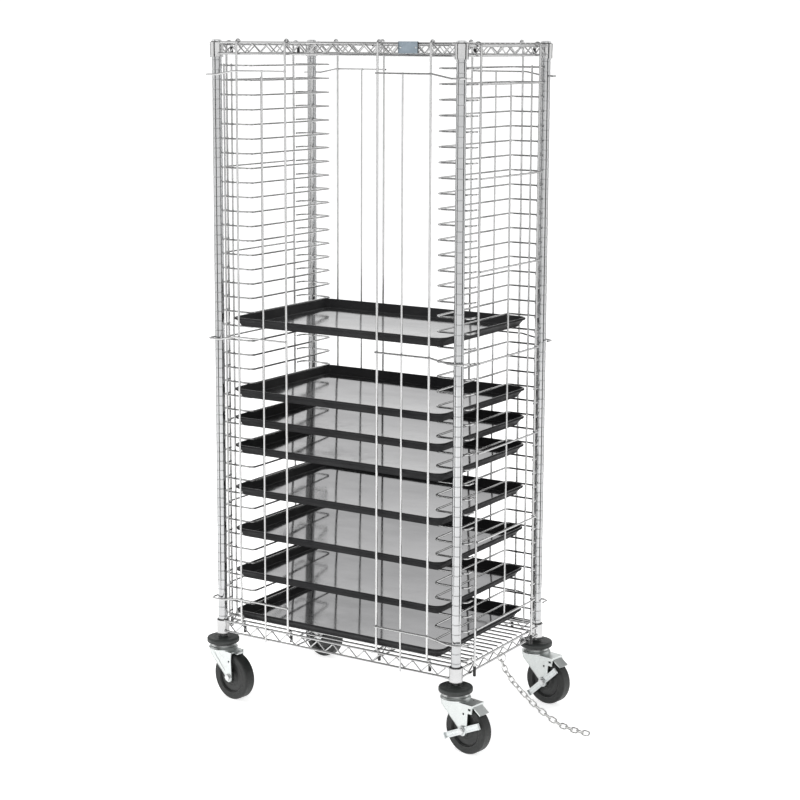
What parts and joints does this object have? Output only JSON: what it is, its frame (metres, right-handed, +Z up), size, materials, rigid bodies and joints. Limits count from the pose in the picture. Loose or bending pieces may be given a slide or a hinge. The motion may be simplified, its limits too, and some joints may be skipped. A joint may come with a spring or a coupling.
{
  "type": "sheet pan rack",
  "caption": "Tall mobile wire rack that carries sheet pans on ledges between wire gates, with top and bottom wire shelves and swivel casters.",
  "frame": {"origin": "on the floor, under the centre of the rack's bounding box without its ground chain", "axes": "+Z up, -Y towards the front where pans go in, +X to the rack's right as seen from the front"},
  "size_m": [1.0372, 0.5246, 1.7781],
  "materials": {
    "chrome_post": "bright chrome tube with rolled rings",
    "cap_grey": "plated pressed cap",
    "chrome_wire": "bright chrome wire",
    "gate_chrome": "bright chrome wire",
    "sleeve_black": "moulded black plastic",
    "vinyl_black": "dipped black vinyl",
    "plate_grey": "grey-blue plastic",
    "pan_dark": "dark hard-coated sheet, satin",
    "zinc_steel": "zinc-plated steel",
    "bumper_rubber": "moulded dark grey rubber",
    "fork_steel": "zinc-plated pressed steel",
    "tyre_rubber": "dark grey rubber tread",
    "hub_plastic": "dark moulded wheel centre",
    "axle_steel": "zinc-plated bolt",
    "lever_steel": "zinc-plated pressed lever",
    "chain_steel": "galvanised welded chain"
  },
  "bodies": {
    "rack": {"post_lf": "chrome_post", "post_rf": "chrome_post", "post_lr": "chrome_post", "post_rr": "chrome_post", "post_caps": "cap_grey", "top_shelf": "chrome_wire", "bottom_shelf": "chrome_wire", "sleeves": "sleeve_black", "panel_left": "chrome_wire", "panel_right": "chrome_wire", "panel_tips": "vinyl_black", "label_plate": "plate_grey", "stem_sockets": "sleeve_black", "caster_stems": "zinc_steel", "bumpers": "bumper_rubber", "ground_chain": "chain_steel", "chain_ring": "chain_steel"},
    "gate_front_left": {"gate_fl": "gate_chrome", "gate_tips_fl": "vinyl_black"},
    "gate_front_right": {"gate_fr": "gate_chrome", "gate_tips_fr": "vinyl_black"},
    "gate_rear_left": {"gate_rl": "gate_chrome", "gate_tips_rl": "vinyl_black"},
    "gate_rear_right": {"gate_rr": "gate_chrome", "gate_tips_rr": "vinyl_black"},
    "pan_1_body": {"pan_1": "pan_dark"},
    "pan_2_body": {"pan_2": "pan_dark"},
    "pan_3_body": {"pan_3": "pan_dark"},
    "pan_4_body": {"pan_4": "pan_dark"},
    "pan_5_body": {"pan_5": "pan_dark"},
    "pan_6_body": {"pan_6": "pan_dark"},
    "pan_7_body": {"pan_7": "pan_dark"},
    "pan_8_body": {"pan_8": "pan_dark"},
    "caster_lf": {"fork_lf": "fork_steel", "axle_lf": "axle_steel"},
    "wheel_lf": {"tyre_lf": "tyre_rubber", "hub_lf": "hub_plastic"},
    "caster_rf": {"fork_rf": "fork_steel", "axle_rf": "axle_steel"},
    "wheel_rf": {"tyre_rf": "tyre_rubber", "hub_rf": "hub_plastic"},
    "lever_rf": {"brake_lever_rf": "lever_steel"},
    "caster_lr": {"fork_lr": "fork_steel", "axle_lr": "axle_steel"},
    "wheel_lr": {"tyre_lr": "tyre_rubber", "hub_lr": "hub_plastic"},
    "caster_rr": {"fork_rr": "fork_steel", "axle_rr": "axle_steel"},
    "wheel_rr": {"tyre_rr": "tyre_rubber", "hub_rr": "hub_plastic"},
    "lever_rr": {"brake_lever_rr": "lever_steel"}
  },
  "joints": [
    {"name": "gate_front_left_lift", "type": "slide", "parent": "rack", "child": "gate_front_left", "axis": [0, 0, 1], "range_m": [0, 0.015]},
    {"name": "gate_front_right_lift", "type": "slide", "parent": "rack", "child": "gate_front_right", "axis": [0, 0, 1], "range_m": [0, 0.015]},
    {"name": "gate_rear_left_lift", "type": "slide", "parent": "rack", "child": "gate_rear_left", "axis": [0, 0, 1], "range_m": [0, 0.015]},
    {"name": "gate_rear_right_lift", "type": "slide", "parent": "rack", "child": "gate_rear_right", "axis": [0, 0, 1], "range_m": [0, 0.015]},
    {"name": "pan_1_slide", "type": "slide", "parent": "rack", "child": "pan_1_body", "axis": [0, 1, 0], "range_m": [-0.003, 0.003]},
    {"name": "pan_2_slide", "type": "slide", "parent": "rack", "child": "pan_2_body", "axis": [0, 1, 0], "range_m": [-0.003, 0.003]},
    {"name": "pan_3_slide", "type": "slide", "parent": "rack", "child": "pan_3_body", "axis": [0, 1, 0], "range_m": [-0.003, 0.003]},
    {"name": "pan_4_slide", "type": "slide", "parent": "rack", "child": "pan_4_body", "axis": [0, 1, 0], "range_m": [-0.003, 0.003]},
    {"name": "pan_5_slide", "type": "slide", "parent": "rack", "child": "pan_5_body", "axis": [0, 1, 0], "range_m": [-0.003, 0.003]},
    {"name": "pan_6_slide", "type": "slide", "parent": "rack", "child": "pan_6_body", "axis": [0, 1, 0], "range_m": [-0.003, 0.003]},
    {"name": "pan_7_slide", "type": "slide", "parent": "rack", "child": "pan_7_body", "axis": [0, 1, 0], "range_m": [-0.003, 0.003]},
    {"name": "pan_8_slide", "type": "slide", "parent": "rack", "child": "pan_8_body", "axis": [0, 1, 0], "range_m": [-0.003, 0.003]},
    {"name": "swivel_lf", "type": "hinge", "parent": "rack", "child": "caster_lf", "pos_m": [-0.40023, -0.21347, 0.135], "axis": [0, 0, 1], "continuous": true},
    {"name": "wheel_lf_spin", "type": "hinge", "parent": "caster_lf", "child": "wheel_lf", "pos_m": [-0.3569, -0.22111, 0.0635], "axis": [0.1736, 0.9848, 0], "continuous": true},
    {"name": "swivel_rf", "type": "hinge", "parent": "rack", "child": "caster_rf", "pos_m": [0.33637, -0.21347, 0.135], "axis": [0, 0, 1], "continuous": true},
    {"name": "wheel_rf_spin", "type": "hinge", "parent": "caster_rf", "child": "wheel_rf", "pos_m": [0.37971, -0.22111, 0.0635], "axis": [0.1736, 0.9848, 0], "continuous": true},
    {"name": "brake_rf", "type": "hinge", "parent": "caster_rf", "child": "lever_rf", "pos_m": [0.37971, -0.22111, 0.0635], "axis": [0.1736, 0.9848, 0], "range_deg": [-18, 0]},
    {"name": "swivel_lr", "type": "hinge", "parent": "rack", "child": "caster_lr", "pos_m": [-0.40023, 0.21833, 0.135], "axis": [0, 0, 1], "continuous": true},
    {"name": "wheel_lr_spin", "type": "hinge", "parent": "caster_lr", "child": "wheel_lr", "pos_m": [-0.3569, 0.21069, 0.0635], "axis": [0.1736, 0.9848, 0], "continuous": true},
    {"name": "swivel_rr", "type": "hinge", "parent": "rack", "child": "caster_rr", "pos_m": [0.33637, 0.21833, 0.135], "axis": [0, 0, 1], "continuous": true},
    {"name": "wheel_rr_spin", "type": "hinge", "parent": "caster_rr", "child": "wheel_rr", "pos_m": [0.37971, 0.21069, 0.0635], "axis": [0.1736, 0.9848, 0], "continuous": true},
    {"name": "brake_rr", "type": "hinge", "parent": "caster_rr", "child": "lever_rr", "pos_m": [0.37971, 0.21069, 0.0635], "axis": [0.1736, 0.9848, 0], "range_deg": [0, 18]}
  ]
}
